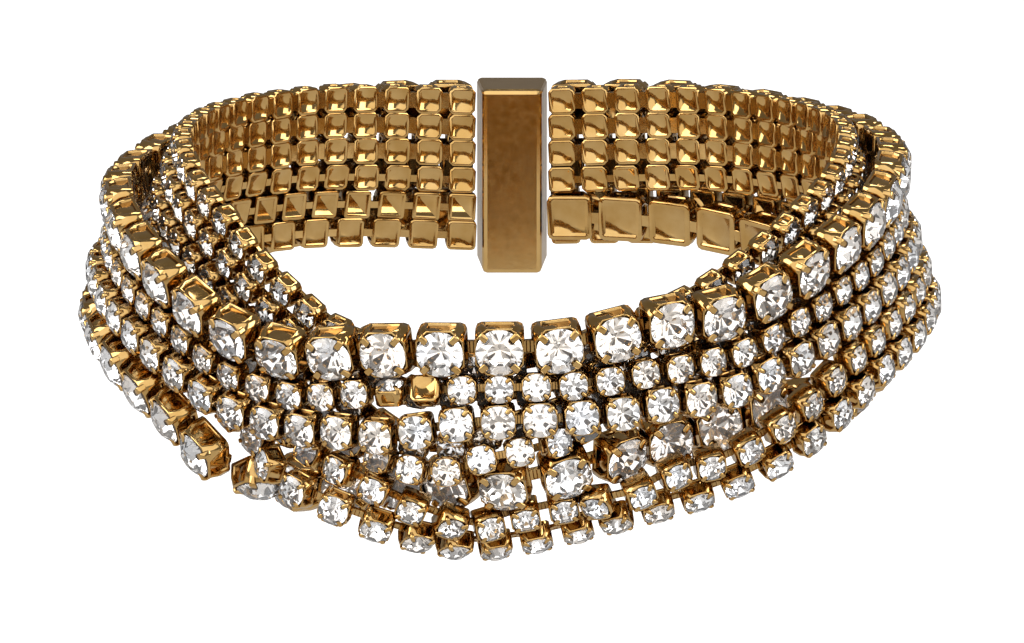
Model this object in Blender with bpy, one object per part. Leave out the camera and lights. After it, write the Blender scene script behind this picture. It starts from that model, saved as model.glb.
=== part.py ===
"""Choker necklace of ten chains laid in two layers round the neck and held by one clasp at the nape.

The neck axis is world Z through the origin, the front of the necklace faces -Y and turns count in
degrees from the front toward +X. The tables are in millimetres and degrees.
"""
from math import cos, radians, sin

import bmesh
import bpy
from mathutils import Vector

MM = 0.001

# The inner edge round the neck: its height, its distance from the axis and how far the band flares.
NECK_COLUMNS = ("turn", "height", "reach", "flare")
NECK = (
    (-180, 13.0, 52.0, 0),
    (-135, 16.0, 52.0, 8),
    (-90, 17.5, 51.0, 23),
    (-60, 11.5, 51.0, 19),
    (-45, 4.3, 51.5, 15),
    (-30, -1.3, 51.5, 13),
    (0, -2.0, 51.5, 12),
    (30, 2.6, 51.5, 13),
    (45, 7.9, 52.0, 14),
    (60, 12.9, 52.0, 15),
    (90, 17.9, 52.0, 19),
    (135, 16.0, 52.0, 8),
    (180, 13.0, 52.0, 0),
)

# Each chain: its way down the band from the inner edge, its lift off the band and its own tip.
ROUTE_COLUMNS = ("turn", "drop", "lift", "tip")
ROUTES = {
    "inner_chain_1": (
        (-174, 2.2, 0.0, 0),
        (-120, 2.2, 0.0, -14),
        (-80, 2.2, 0.0, -28),
        (-42, 2.2, 0.0, -28),
        (-28, 3.6, 0.0, -26),
        (-14, 6.2, 0.0, -22),
        (-2, 6.0, 0.0, -22),
        (8, 5.0, 0.0, -24),
        (20, 3.3, 0.0, -26),
        (40, 2.2, 0.0, -28),
        (80, 2.2, 0.0, -28),
        (120, 2.2, 0.0, -14),
        (174, 2.2, 0.0, 0),
    ),
    "inner_chain_2": (
        (-174, 6.7, 0.0, 0),
        (-120, 6.7, 0.0, -14),
        (-80, 6.7, 0.0, -28),
        (-42, 6.7, 0.0, -28),
        (-28, 8.2, 0.0, -26),
        (-14, 10.9, 0.0, -22),
        (-2, 10.6, 0.0, -22),
        (8, 9.4, 0.0, -24),
        (20, 7.8, 0.0, -26),
        (40, 6.7, 0.0, -28),
        (80, 6.7, 0.0, -28),
        (120, 6.7, 0.0, -14),
        (174, 6.7, 0.0, 0),
    ),
    "inner_chain_3": (
        (-174, 11.2, 0.0, 0),
        (-120, 11.2, 0.0, -14),
        (-80, 11.2, 0.0, -28),
        (-42, 11.2, 0.0, -28),
        (-28, 13.4, 0.0, -26),
        (-20, 17.4, -0.4, -22),
        (-14, 19.2, -0.8, -18),
        (-9, 18.9, -0.8, -18),
        (-4, 17.0, -0.4, -20),
        (3, 15.1, 0.0, -22),
        (8, 13.9, 0.0, -24),
        (20, 12.1, 0.0, -26),
        (40, 11.2, 0.0, -28),
        (80, 11.2, 0.0, -28),
        (120, 11.2, 0.0, -14),
        (174, 11.2, 0.0, 0),
    ),
    "upper_large_chain": (
        (-174, 3.9, 4.0, 0),
        (-120, 9.4, 4.6, -14),
        (-90, 13.6, 5.4, -30),
        (-60, 13.4, 5.8, -36),
        (-45, 10.9, 5.6, -36),
        (-30, 6.2, 5.0, -30),
        (-20, 4.4, 4.6, -22),
        (-12, 3.6, 4.5, -17),
        (0, 3.1, 4.5, -17),
        (20, 3.1, 4.4, -18),
        (40, 6.3, 4.5, -22),
        (60, 7.6, 4.8, -24),
        (90, 8.2, 4.8, -22),
        (120, 6.6, 4.4, -12),
        (174, 3.9, 4.0, 0),
    ),
    "upper_small_chain": (
        (-174, 10.2, 4.0, 0),
        (-120, 16.3, 4.3, -12),
        (-90, 21.1, 4.6, -22),
        (-60, 20.5, 4.6, -24),
        (-45, 18.1, 4.5, -24),
        (-30, 13.4, 4.3, -16),
        (-15, 10.9, 4.2, -8),
        (0, 9.7, 4.2, -5),
        (20, 10.8, 4.2, -8),
        (40, 13.7, 4.2, -12),
        (60, 15.1, 4.2, -12),
        (90, 15.5, 4.2, -12),
        (120, 13.5, 4.1, -6),
        (174, 10.2, 4.0, 0),
    ),
    "medium_chain": (
        (-174, 15.3, 4.0, 0),
        (-120, 21.2, 4.2, -12),
        (-90, 26.4, 4.4, -22),
        (-60, 25.7, 4.4, -24),
        (-45, 23.1, 4.4, -24),
        (-38, 20.8, 4.4, -20),
        (-32, 18.9, 4.4, -17),
        (-26, 18.4, 4.4, -14),
        (-20, 18.2, 4.4, -11),
        (-14, 16.9, 4.5, -8),
        (-7, 15.4, 4.5, -6),
        (0, 14.7, 4.5, -5),
        (20, 16.0, 4.4, -8),
        (40, 18.8, 4.3, -12),
        (60, 20.2, 4.2, -12),
        (90, 20.6, 4.2, -12),
        (120, 18.6, 4.1, -6),
        (174, 15.3, 4.0, 0),
    ),
    "middle_small_chain": (
        (-174, 15.9, 0.0, 0),
        (-60, 15.9, 0.0, 0),
        (-40, 17.3, 0.0, 0),
        (-30, 18.7, 0.0, 0),
        (-25, 20.5, 0.2, 0),
        (-20, 22.4, 1.0, 0),
        (-14, 23.5, 1.9, -3),
        (-9, 22.9, 2.2, -3),
        (-4, 20.9, 2.7, -3),
        (3, 19.5, 2.3, -3),
        (8, 18.6, 0.5, 0),
        (13, 17.2, 0.0, 0),
        (20, 16.2, 0.0, 0),
        (174, 15.9, 0.0, 0),
    ),
    "lower_large_chain": (
        (-174, 22.2, 4.2, 0),
        (-120, 28.4, 3.0, -20),
        (-90, 32.7, 1.2, -40),
        (-57, 32.1, 1.2, -44.7),
        (-46.6, 32.2, 2.0, -41.9),
        (-41.8, 31.0, -6.5, -30.5),
        (-32, 29.2, -5.0, -7.6),
        (-25, 27.2, -5.8, -4),
        (-18, 25.4, -6.0, -12),
        (-12, 24.4, -5.8, -22),
        (-6, 23.8, -4.0, -32),
        (0, 23.6, -1.9, -36),
        (12, 22.2, -2.2, -34),
        (20, 22.1, -4.2, -27),
        (27, 22.8, -4.8, -18),
        (34, 24.2, -4.8, -8),
        (42, 26.2, -4.2, 0),
        (50, 29.0, -3.4, 0),
        (62, 33.5, -2.9, 0),
        (90, 31.0, -2.4, 0),
        (120, 27.0, -2.2, 0),
        (174, 22.0, -2.0, 0),
    ),
    "boxy_chain": (
        (-174, 20.6, -0.4, 0),
        (-120, 20.6, -0.4, 0),
        (-60, 20.7, -0.4, 0),
        (-45, 21.3, -0.6, 0),
        (-38, 22.2, -0.7, 0),
        (-30, 23.8, 0.5, -5),
        (-24, 25.3, 1.4, -15),
        (-18, 27.6, 0.7, -25),
        (-12, 29.6, -1.0, -34),
        (-6, 31.1, -4.2, -35),
        (0, 29.4, -5.0, -36),
        (10, 28.5, -4.6, -35),
        (18, 28.9, -0.8, -31),
        (27, 27.4, 0.4, -26),
        (34, 28.2, 2.2, -22),
        (42, 27.5, 3.6, -18),
        (60, 25.6, 4.2, -12),
        (90, 25.9, 4.2, -12),
        (120, 23.7, 4.1, -6),
        (174, 20.4, 4.0, 0),
    ),
    "bottom_chain": (
        (-174, 25.4, -0.8, 0),
        (-120, 25.6, -1.0, -12),
        (-90, 26.2, -1.0, -24),
        (-56, 25.8, -1.1, -23.4),
        (-41.7, 26.3, -0.1, -18.6),
        (-35.7, 28.3, 2.9, -27.2),
        (-30, 29.2, 3.8, -10),
        (-24, 30.7, 2.6, -28),
        (-18, 32.2, -0.2, -46),
        (-12, 33.3, -4.4, -58),
        (-6, 33.9, -7.9, -64),
        (0, 33.2, -8.8, -66),
        (12, 32.1, -8.0, -62),
        (20, 31.9, -5.0, -56),
        (30, 32.3, -2.4, -48),
        (40, 32.6, 1.8, -36),
        (50, 31.8, 3.8, -20),
        (62, 30.7, 4.2, -14),
        (90, 31.2, 4.2, -14),
        (120, 28.8, 4.1, -8),
        (174, 25.5, 4.0, 0),
    ),
}

# Cup sizes: outside width, stone width, floor to girdle, spacing and the table's number of sides.
SIZE_COLUMNS = ("width", "stone", "depth", "pitch", "table_sides")
SIZES = {
    "large": (7.6, 7.1, 4.4, 8.7, 8),
    "medium": (5.2, 4.7, 3.2, 6.25, 4),
    "lower": (4.9, 4.4, 3.1, 6.6, 4),
    "boxy": (4.4, 3.95, 3.2, 6.15, 4),
}
STONE_CHAINS = {
    "upper_large_chain": "large",
    "medium_chain": "medium",
    "lower_large_chain": "large",
    "boxy_chain": "boxy",
    "bottom_chain": "lower",
}
# The five smallest rows are plain round strings, their middle this far off the band.
SMALL_CHAINS = (
    "inner_chain_1",
    "inner_chain_2",
    "inner_chain_3",
    "upper_small_chain",
    "middle_small_chain",
)
SMALL_DIAMETER = 3.3
SMALL_MIDDLE = 1.7
SMALL_POINTS = 36

CORNER = 0.27         # of the cup's width, cut off at each corner
CROWN = 0.17          # of the stone's width, girdle to table
TABLE = 0.55          # of the stone's width, across the table
LINK_RISE = 0.9       # thickness of the strap between two cups
END_TURN = 173.2      # where the chains stop, either side of the clasp

CLASP_INNER = 49.8    # axis to the flat inner face
CLASP_OUTER = 60.6
CLASP_TURN = 174.3    # the side faces look along this turn
CLASP_TOP = 13.4
CLASP_BOTTOM = -18.6
CLASP_EDGE = 0.8      # bevel along every edge

GOLD = ("plated_gold", (0.83, 0.56, 0.24, 1.0), 1.0, 0.22)


def column(rows, names, name, turn):
    """Value of a table's column at a turn, read from a smooth curve that keeps between its rows."""
    at = names.index(name)
    turn = min(max(turn, rows[0][0]), rows[-1][0])
    last = len(rows) - 1
    i = 0
    while i < last - 1 and turn > rows[i + 1][0]:
        i += 1

    def rise(k):
        return (rows[k + 1][at] - rows[k][at]) / (rows[k + 1][0] - rows[k][0])

    def slope(k):
        if k in (0, last) or rise(k - 1) * rise(k) <= 0:
            return 0.0
        return 2 * rise(k - 1) * rise(k) / (rise(k - 1) + rise(k))

    gap = rows[i + 1][0] - rows[i][0]
    u = (turn - rows[i][0]) / gap
    ease = u * u * (3 - 2 * u)
    return (
        rows[i][at] * (1 - ease)
        + rows[i + 1][at] * ease
        + gap * slope(i) * u * (1 - u) ** 2
        - gap * slope(i + 1) * u * u * (1 - u)
    )


def route_point(name, turn):
    """Where a chain's floor lies at a turn, and the angle its stones look up from level."""
    flare = radians(column(NECK, NECK_COLUMNS, "flare", turn))
    drop = column(ROUTES[name], ROUTE_COLUMNS, "drop", turn)
    lift = column(ROUTES[name], ROUTE_COLUMNS, "lift", turn)
    tip = radians(column(ROUTES[name], ROUTE_COLUMNS, "tip", turn))
    reach = column(NECK, NECK_COLUMNS, "reach", turn) + drop * sin(flare) + lift * cos(flare)
    height = column(NECK, NECK_COLUMNS, "height", turn) - drop * cos(flare) + lift * sin(flare)
    around = radians(turn)
    return Vector((reach * sin(around), -reach * cos(around), height)), flare + tip


def route_frame(name, turn):
    """The chain's floor point with its directions along the chain, outward and to the upper side."""
    point, look = route_point(name, turn)
    along = (route_point(name, turn + 0.5)[0] - route_point(name, turn - 0.5)[0]).normalized()
    around = radians(turn)
    out = Vector((sin(around) * cos(look), -cos(around) * cos(look), sin(look)))
    out = (out - along * out.dot(along)).normalized()
    return point, along, out, out.cross(along)


def even_turns(name, inset, pitch):
    """Turns of points spaced evenly along a chain, the first and last an inset from its ends."""
    steps = 1400
    turns = [-END_TURN + 2 * END_TURN * i / steps for i in range(steps + 1)]
    places = [route_point(name, turn)[0] for turn in turns]
    run = [0.0]
    for before, after in zip(places, places[1:]):
        run.append(run[-1] + (after - before).length)
    count = round((run[-1] - 2 * inset) / pitch)
    found = []
    at = 0
    for i in range(count + 1):
        want = inset + (run[-1] - 2 * inset) * i / count
        while at < steps - 1 and run[at + 1] < want:
            at += 1
        part = (want - run[at]) / (run[at + 1] - run[at])
        found.append(turns[at] + part * (turns[at + 1] - turns[at]))
    return found


def outline(half, corner, sides):
    """Corners (along, across) of a stone's table or a cup, starting at the cup's near upper side."""
    if sides == 4:
        return [(-half, half), (half, half), (half, -half), (-half, -half)]
    flat = half - corner
    return [
        (-flat, half), (flat, half), (half, flat), (half, -flat),
        (flat, -half), (-flat, -half), (-half, -flat), (-half, flat),
    ]


def ring(mesh, frame, corners, rise):
    """A ring of vertices at one height over the chain's floor."""
    point, along, out, side = frame
    return [
        mesh.verts.new((point + along * x + side * y + out * rise) * MM)
        for x, y in corners
    ]


def add_cup(mesh, frame, size, strap_before, strap_after):
    """One cup with its cut stone; returns the strap's corners on its two ends, or none of them."""
    width, stone, depth, table_sides = (
        size["width"], size["stone"], size["depth"], size["table_sides"],
    )
    cup = outline(width / 2, width * CORNER, 8)
    floor = ring(mesh, frame, cup, 0)
    rim = ring(mesh, frame, cup, depth)
    table_half = stone * TABLE / 2
    table_cut = stone * TABLE * 0.29
    table = ring(mesh, frame, outline(table_half, table_cut, table_sides), depth + CROWN * stone)
    flat = width / 2 - width * CORNER
    ends = {}
    if strap_after:
        ends["after"] = ring(mesh, frame, [(width / 2, flat), (width / 2, -flat)], LINK_RISE)
    if strap_before:
        ends["before"] = ring(mesh, frame, [(-width / 2, -flat), (-width / 2, flat)], LINK_RISE)
    mesh.faces.new(floor)
    mesh.faces.new(reversed(table))
    # The wall faces run round the cup; the two ends are the third and the seventh.
    for i in range(8):
        j = (i + 1) % 8
        low = [floor[j], floor[i]]
        if i in (2, 6) and ("after" if i == 2 else "before") in ends:
            low = list(reversed(ends["after" if i == 2 else "before"]))
        wall = low + [rim[i], rim[j]]
        if i == 1 and strap_after:
            wall = [floor[2], floor[1], rim[1], rim[2], ends["after"][0]]
        elif i == 3 and strap_after:
            wall = [floor[4], floor[3], ends["after"][1], rim[3], rim[4]]
        elif i == 5 and strap_before:
            wall = [floor[6], floor[5], rim[5], rim[6], ends["before"][0]]
        elif i == 7 and strap_before:
            wall = [floor[0], floor[7], ends["before"][1], rim[7], rim[0]]
        mesh.faces.new(wall)
    # The crown: eight facets between the rim and the table.
    for i in range(8):
        j = (i + 1) % 8
        if table_sides == 8:
            mesh.faces.new([rim[j], rim[i], table[i], table[j]])
        elif i % 2 == 0:
            k = i // 2
            mesh.faces.new([rim[j], rim[i], table[k], table[(k + 1) % 4]])
        else:
            mesh.faces.new([rim[j], rim[i], table[(i + 1) // 2 % 4]])
    loops = {}
    if strap_after:
        loops["after"] = [floor[2], ends["after"][0], ends["after"][1], floor[3]]
    if strap_before:
        loops["before"] = [floor[7], ends["before"][1], ends["before"][0], floor[6]]
    return loops


def finish(name, mesh_data, rows):
    """Link the object and give it its gold."""
    thing = bpy.data.objects.new(name, mesh_data)
    bpy.context.scene.collection.objects.link(thing)
    label, colour, metal, rough = rows
    material = bpy.data.materials.new(name + "_" + label)
    material.use_nodes = True
    shader = material.node_tree.nodes["Principled BSDF"]
    shader.inputs["Base Color"].default_value = colour
    shader.inputs["Metallic"].default_value = metal
    shader.inputs["Roughness"].default_value = rough
    thing.data.materials.append(material)
    return thing


def stone_chain(name, kind):
    """A row of cups with their stones, each strapped to the next along the floor."""
    size = dict(zip(SIZE_COLUMNS, SIZES[kind]))
    mesh = bmesh.new()
    turns = even_turns(name, size["width"] / 2, size["pitch"])
    last = len(turns) - 1
    waiting = None
    for i, turn in enumerate(turns):
        loops = add_cup(mesh, route_frame(name, turn), size, i > 0, i < last)
        if waiting:
            for a in range(4):
                b = (a + 1) % 4
                mesh.faces.new([waiting[a], waiting[b], loops["before"][b], loops["before"][a]])
        waiting = loops.get("after")
    bmesh.ops.recalc_face_normals(mesh, faces=mesh.faces[:])
    data = bpy.data.meshes.new(name)
    mesh.to_mesh(data)
    mesh.free()
    return finish(name, data, GOLD)


def small_chain(name):
    """A smallest row as a plain round string along its route, closed at both ends."""
    data = bpy.data.curves.new(name, "CURVE")
    data.dimensions = "3D"
    data.bevel_depth = SMALL_DIAMETER / 2 * MM
    data.bevel_resolution = 2
    data.use_fill_caps = True
    turns = [
        -END_TURN + 2 * END_TURN * i / (SMALL_POINTS - 1)
        for i in range(SMALL_POINTS)
    ]
    line = data.splines.new("POLY")
    line.points.add(len(turns) - 1)
    for spot, turn in zip(line.points, turns):
        point, _, out, _ = route_frame(name, turn)
        spot.co = (*((point + out * SMALL_MIDDLE) * MM), 1.0)
    return finish(name, data, GOLD)


def clasp():
    """The block at the nape that the chains end on, its inner face flat."""
    slope = (cos(radians(CLASP_TURN)), sin(radians(CLASP_TURN)))
    mesh = bmesh.new()
    corners = []
    for height in (CLASP_BOTTOM, CLASP_TOP):
        for y in (CLASP_INNER, CLASP_OUTER):
            half = -y * slope[1] / slope[0]
            corners.append(mesh.verts.new((-half * MM, y * MM, height * MM)))
            corners.append(mesh.verts.new((half * MM, y * MM, height * MM)))
    for face in ((0, 1, 3, 2), (4, 5, 7, 6), (0, 1, 5, 4), (2, 3, 7, 6), (0, 2, 6, 4), (1, 3, 7, 5)):
        mesh.faces.new([corners[i] for i in face])
    bmesh.ops.recalc_face_normals(mesh, faces=mesh.faces[:])
    bmesh.ops.bevel(
        mesh, geom=mesh.edges[:], offset=CLASP_EDGE * MM, segments=2, profile=0.5, affect="EDGES",
    )
    bmesh.ops.recalc_face_normals(mesh, faces=mesh.faces[:])
    data = bpy.data.meshes.new("clasp")
    mesh.to_mesh(data)
    mesh.free()
    return finish("clasp", data, GOLD)


def main():
    """Clear the file and build every sub-part."""
    for thing in list(bpy.data.objects):
        bpy.data.objects.remove(thing, do_unlink=True)
    for name in SMALL_CHAINS:
        small_chain(name)
    for name, kind in STONE_CHAINS.items():
        stone_chain(name, kind)
    clasp()


main()
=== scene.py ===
"""Looks of the choker necklace: ten cup chains of cut stones and the clasp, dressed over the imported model."""

import logging
from collections.abc import Callable
from dataclasses import dataclass, field, replace
from enum import Enum
from math import cos, pi, radians, sin
from typing import NamedTuple

import bmesh
import bpy
from mathutils import Matrix, Vector


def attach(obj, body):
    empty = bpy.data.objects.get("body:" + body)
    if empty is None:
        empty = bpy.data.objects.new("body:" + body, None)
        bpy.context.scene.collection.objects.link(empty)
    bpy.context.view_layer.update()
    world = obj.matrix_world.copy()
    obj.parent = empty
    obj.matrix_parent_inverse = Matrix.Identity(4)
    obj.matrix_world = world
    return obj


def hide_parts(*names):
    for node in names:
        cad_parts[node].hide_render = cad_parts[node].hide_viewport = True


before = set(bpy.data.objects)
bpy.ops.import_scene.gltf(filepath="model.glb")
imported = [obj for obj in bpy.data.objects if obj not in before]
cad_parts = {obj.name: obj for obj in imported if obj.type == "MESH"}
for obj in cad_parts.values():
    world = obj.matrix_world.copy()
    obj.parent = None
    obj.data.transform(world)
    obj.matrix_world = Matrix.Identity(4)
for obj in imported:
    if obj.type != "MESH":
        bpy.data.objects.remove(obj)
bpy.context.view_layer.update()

LOG = logging.getLogger("choker")
MM = 0.001
END_TURN = 173.2
FLAT = 0.9
SQUARE_ON = 0.95
UPRIGHT = 0.004
MERGE = 1e-7
ROUTE_STEPS = 1400

Point = tuple[float, float, float]
Color = tuple[float, float, float]


class NeckRow(NamedTuple):
    """The inner edge at a turn: its height and reach in millimetres and the band's flare in degrees."""

    turn: float
    height: float
    reach: float
    flare: float


class RouteRow(NamedTuple):
    """A chain at a turn: its way down the band and its lift off it in millimetres, its own tip in degrees."""

    turn: float
    drop: float
    lift: float
    tip: float


Table = tuple[NeckRow, ...] | tuple[RouteRow, ...]

NECK: tuple[NeckRow, ...] = (
    NeckRow(-180, 13.0, 52.0, 0),
    NeckRow(-135, 16.0, 52.0, 8),
    NeckRow(-90, 17.5, 51.0, 23),
    NeckRow(-60, 11.5, 51.0, 19),
    NeckRow(-45, 4.3, 51.5, 15),
    NeckRow(-30, -1.3, 51.5, 13),
    NeckRow(0, -2.0, 51.5, 12),
    NeckRow(30, 2.6, 51.5, 13),
    NeckRow(45, 7.9, 52.0, 14),
    NeckRow(60, 12.9, 52.0, 15),
    NeckRow(90, 17.9, 52.0, 19),
    NeckRow(135, 16.0, 52.0, 8),
    NeckRow(180, 13.0, 52.0, 0),
)


def route_table(*rows: tuple[float, float, float, float]) -> tuple[RouteRow, ...]:
    """Rows of turn, drop, lift and tip as a route's table."""
    return tuple(RouteRow(*row) for row in rows)


ROUTES: dict[str, tuple[RouteRow, ...]] = {
    "inner_chain_1": route_table(
        (-174, 2.2, 0.0, 0),
        (-120, 2.2, 0.0, -14),
        (-80, 2.2, 0.0, -28),
        (-42, 2.2, 0.0, -28),
        (-28, 3.6, 0.0, -26),
        (-14, 6.2, 0.0, -22),
        (-2, 6.0, 0.0, -22),
        (8, 5.0, 0.0, -24),
        (20, 3.3, 0.0, -26),
        (40, 2.2, 0.0, -28),
        (80, 2.2, 0.0, -28),
        (120, 2.2, 0.0, -14),
        (174, 2.2, 0.0, 0),
    ),
    "inner_chain_2": route_table(
        (-174, 6.7, 0.0, 0),
        (-120, 6.7, 0.0, -14),
        (-80, 6.7, 0.0, -28),
        (-42, 6.7, 0.0, -28),
        (-28, 8.2, 0.0, -26),
        (-14, 10.9, 0.0, -22),
        (-2, 10.6, 0.0, -22),
        (8, 9.4, 0.0, -24),
        (20, 7.8, 0.0, -26),
        (40, 6.7, 0.0, -28),
        (80, 6.7, 0.0, -28),
        (120, 6.7, 0.0, -14),
        (174, 6.7, 0.0, 0),
    ),
    "inner_chain_3": route_table(
        (-174, 11.2, 0.0, 0),
        (-120, 11.2, 0.0, -14),
        (-80, 11.2, 0.0, -28),
        (-42, 11.2, 0.0, -28),
        (-28, 13.4, 0.0, -26),
        (-20, 17.4, -0.4, -22),
        (-14, 19.2, -0.8, -18),
        (-9, 18.9, -0.8, -18),
        (-4, 17.0, -0.4, -20),
        (3, 15.1, 0.0, -22),
        (8, 13.9, 0.0, -24),
        (20, 12.1, 0.0, -26),
        (40, 11.2, 0.0, -28),
        (80, 11.2, 0.0, -28),
        (120, 11.2, 0.0, -14),
        (174, 11.2, 0.0, 0),
    ),
    "upper_large_chain": route_table(
        (-174, 3.9, 4.0, 0),
        (-120, 9.4, 4.6, -14),
        (-90, 13.6, 5.4, -30),
        (-60, 13.4, 5.8, -36),
        (-45, 10.9, 5.6, -36),
        (-30, 6.2, 5.0, -30),
        (-20, 4.4, 4.6, -22),
        (-12, 3.6, 4.5, -17),
        (0, 3.1, 4.5, -17),
        (20, 3.1, 4.4, -18),
        (40, 6.3, 4.5, -22),
        (60, 7.6, 4.8, -24),
        (90, 8.2, 4.8, -22),
        (120, 6.6, 4.4, -12),
        (174, 3.9, 4.0, 0),
    ),
    "upper_small_chain": route_table(
        (-174, 10.2, 4.0, 0),
        (-120, 16.3, 4.3, -12),
        (-90, 21.1, 4.6, -22),
        (-60, 20.5, 4.6, -24),
        (-45, 18.1, 4.5, -24),
        (-30, 13.4, 4.3, -16),
        (-15, 10.9, 4.2, -8),
        (0, 9.7, 4.2, -5),
        (20, 10.8, 4.2, -8),
        (40, 13.7, 4.2, -12),
        (60, 15.1, 4.2, -12),
        (90, 15.5, 4.2, -12),
        (120, 13.5, 4.1, -6),
        (174, 10.2, 4.0, 0),
    ),
    "medium_chain": route_table(
        (-174, 15.3, 4.0, 0),
        (-120, 21.2, 4.2, -12),
        (-90, 26.4, 4.4, -22),
        (-60, 25.7, 4.4, -24),
        (-45, 23.1, 4.4, -24),
        (-38, 20.8, 4.4, -20),
        (-32, 18.9, 4.4, -17),
        (-26, 18.4, 4.4, -14),
        (-20, 18.2, 4.4, -11),
        (-14, 16.9, 4.5, -8),
        (-7, 15.4, 4.5, -6),
        (0, 14.7, 4.5, -5),
        (20, 16.0, 4.4, -8),
        (40, 18.8, 4.3, -12),
        (60, 20.2, 4.2, -12),
        (90, 20.6, 4.2, -12),
        (120, 18.6, 4.1, -6),
        (174, 15.3, 4.0, 0),
    ),
    "middle_small_chain": route_table(
        (-174, 15.9, 0.0, 0),
        (-60, 15.9, 0.0, 0),
        (-40, 17.3, 0.0, 0),
        (-30, 18.7, 0.0, 0),
        (-25, 20.5, 0.2, 0),
        (-20, 22.4, 1.0, 0),
        (-14, 23.5, 1.9, -3),
        (-9, 22.9, 2.2, -3),
        (-4, 20.9, 2.7, -3),
        (3, 19.5, 2.3, -3),
        (8, 18.6, 0.5, 0),
        (13, 17.2, 0.0, 0),
        (20, 16.2, 0.0, 0),
        (174, 15.9, 0.0, 0),
    ),
    "lower_large_chain": route_table(
        (-174, 22.2, 4.2, 0),
        (-120, 28.4, 3.0, -20),
        (-90, 32.7, 1.2, -40),
        (-57, 32.1, 1.2, -44.7),
        (-46.6, 32.2, 2.0, -41.9),
        (-41.8, 31.0, -6.5, -30.5),
        (-32, 29.2, -5.0, -7.6),
        (-25, 27.2, -5.8, -4),
        (-18, 25.4, -6.0, -12),
        (-12, 24.4, -5.8, -22),
        (-6, 23.8, -4.0, -32),
        (0, 23.6, -1.9, -36),
        (12, 22.2, -2.2, -34),
        (20, 22.1, -4.2, -27),
        (27, 22.8, -4.8, -18),
        (34, 24.2, -4.8, -8),
        (42, 26.2, -4.2, 0),
        (50, 29.0, -3.4, 0),
        (62, 33.5, -2.9, 0),
        (90, 31.0, -2.4, 0),
        (120, 27.0, -2.2, 0),
        (174, 22.0, -2.0, 0),
    ),
    "boxy_chain": route_table(
        (-174, 20.6, -0.4, 0),
        (-120, 20.6, -0.4, 0),
        (-60, 20.7, -0.4, 0),
        (-45, 21.3, -0.6, 0),
        (-38, 22.2, -0.7, 0),
        (-30, 23.8, 0.5, -5),
        (-24, 25.3, 1.4, -15),
        (-18, 27.6, 0.7, -25),
        (-12, 29.6, -1.0, -34),
        (-6, 31.1, -4.2, -35),
        (0, 29.4, -5.0, -36),
        (10, 28.5, -4.6, -35),
        (18, 28.9, -0.8, -31),
        (27, 27.4, 0.4, -26),
        (34, 28.2, 2.2, -22),
        (42, 27.5, 3.6, -18),
        (60, 25.6, 4.2, -12),
        (90, 25.9, 4.2, -12),
        (120, 23.7, 4.1, -6),
        (174, 20.4, 4.0, 0),
    ),
    "bottom_chain": route_table(
        (-174, 25.4, -0.8, 0),
        (-120, 25.6, -1.0, -12),
        (-90, 26.2, -1.0, -24),
        (-56, 25.8, -1.1, -23.4),
        (-41.7, 26.3, -0.1, -18.6),
        (-35.7, 28.3, 2.9, -27.2),
        (-30, 29.2, 3.8, -10),
        (-24, 30.7, 2.6, -28),
        (-18, 32.2, -0.2, -46),
        (-12, 33.3, -4.4, -58),
        (-6, 33.9, -7.9, -64),
        (0, 33.2, -8.8, -66),
        (12, 32.1, -8.0, -62),
        (20, 31.9, -5.0, -56),
        (30, 32.3, -2.4, -48),
        (40, 32.6, 1.8, -36),
        (50, 31.8, 3.8, -20),
        (62, 30.7, 4.2, -14),
        (90, 31.2, 4.2, -14),
        (120, 28.8, 4.1, -8),
        (174, 25.5, 4.0, 0),
    ),
}


class Part(Enum):
    """What a selection test looks at."""

    EDGES = "EDGE"
    FACES = "FACE"


class Layer(Enum):
    """Layer of the necklace that a chain's stones lie in."""

    OUTER = "outer"
    INNER = "inner"


class Wall(Enum):
    """How a cup's outer walls are finished."""

    WINDOW = "a sunk window in each wall"
    SLIT = "a short slit in each wall"
    PLAIN = "flat walls"


class Cut(Enum):
    """How many facets a stone is cut with."""

    FULL = "crown with stars and halves, pavilion with halves"
    SIMPLE = "crown with stars and halves, plain pavilion"


@dataclass(frozen=True)
class CupSize:
    """Sizes of one cup and its stone: the first four in metres, the others as shares of the width or as counts."""

    width: float
    stone: float
    depth: float
    pitch: float
    corner: float
    wall: Wall
    cut: Cut
    rounding: int = 2
    claw_bevel: tuple[float, int] = (0.042, 1)
    strap: float = 0.26


LARGE = CupSize(7.6 * MM, 7.4 * MM, 4.4 * MM, 8.7 * MM, 0.13, Wall.WINDOW, Cut.FULL, 2, (0.045, 2))
MEDIUM = CupSize(5.4 * MM, 5.25 * MM, 3.2 * MM, 6.25 * MM, 0.14, Wall.WINDOW, Cut.SIMPLE)
LOWER = CupSize(5.0 * MM, 4.85 * MM, 3.1 * MM, 6.6 * MM, 0.14, Wall.WINDOW, Cut.SIMPLE)
SMALL = CupSize(4.5 * MM, 4.35 * MM, 2.8 * MM, 5.7 * MM, 0.15, Wall.SLIT, Cut.SIMPLE, 1, strap=0.6)
CLOSE = replace(SMALL, pitch=5.62 * MM, strap=0.28)
BOXY = CupSize(4.7 * MM, 4.2 * MM, 3.3 * MM, 6.15 * MM, 0.1, Wall.PLAIN, Cut.SIMPLE)


def clear_selection() -> None:
    """Leave edit mode and deselect everything: the model's nodes come selected."""
    if bpy.context.object and bpy.context.object.mode != "OBJECT":
        bpy.ops.object.mode_set(mode="OBJECT")
    bpy.ops.object.select_all(action="DESELECT")


def take_up(piece: bpy.types.Object) -> None:
    """Make one piece active and alone in the selection.

    Args:
        piece: The piece to work on.
    """
    clear_selection()
    piece.select_set(True)
    bpy.context.view_layer.objects.active = piece


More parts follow.
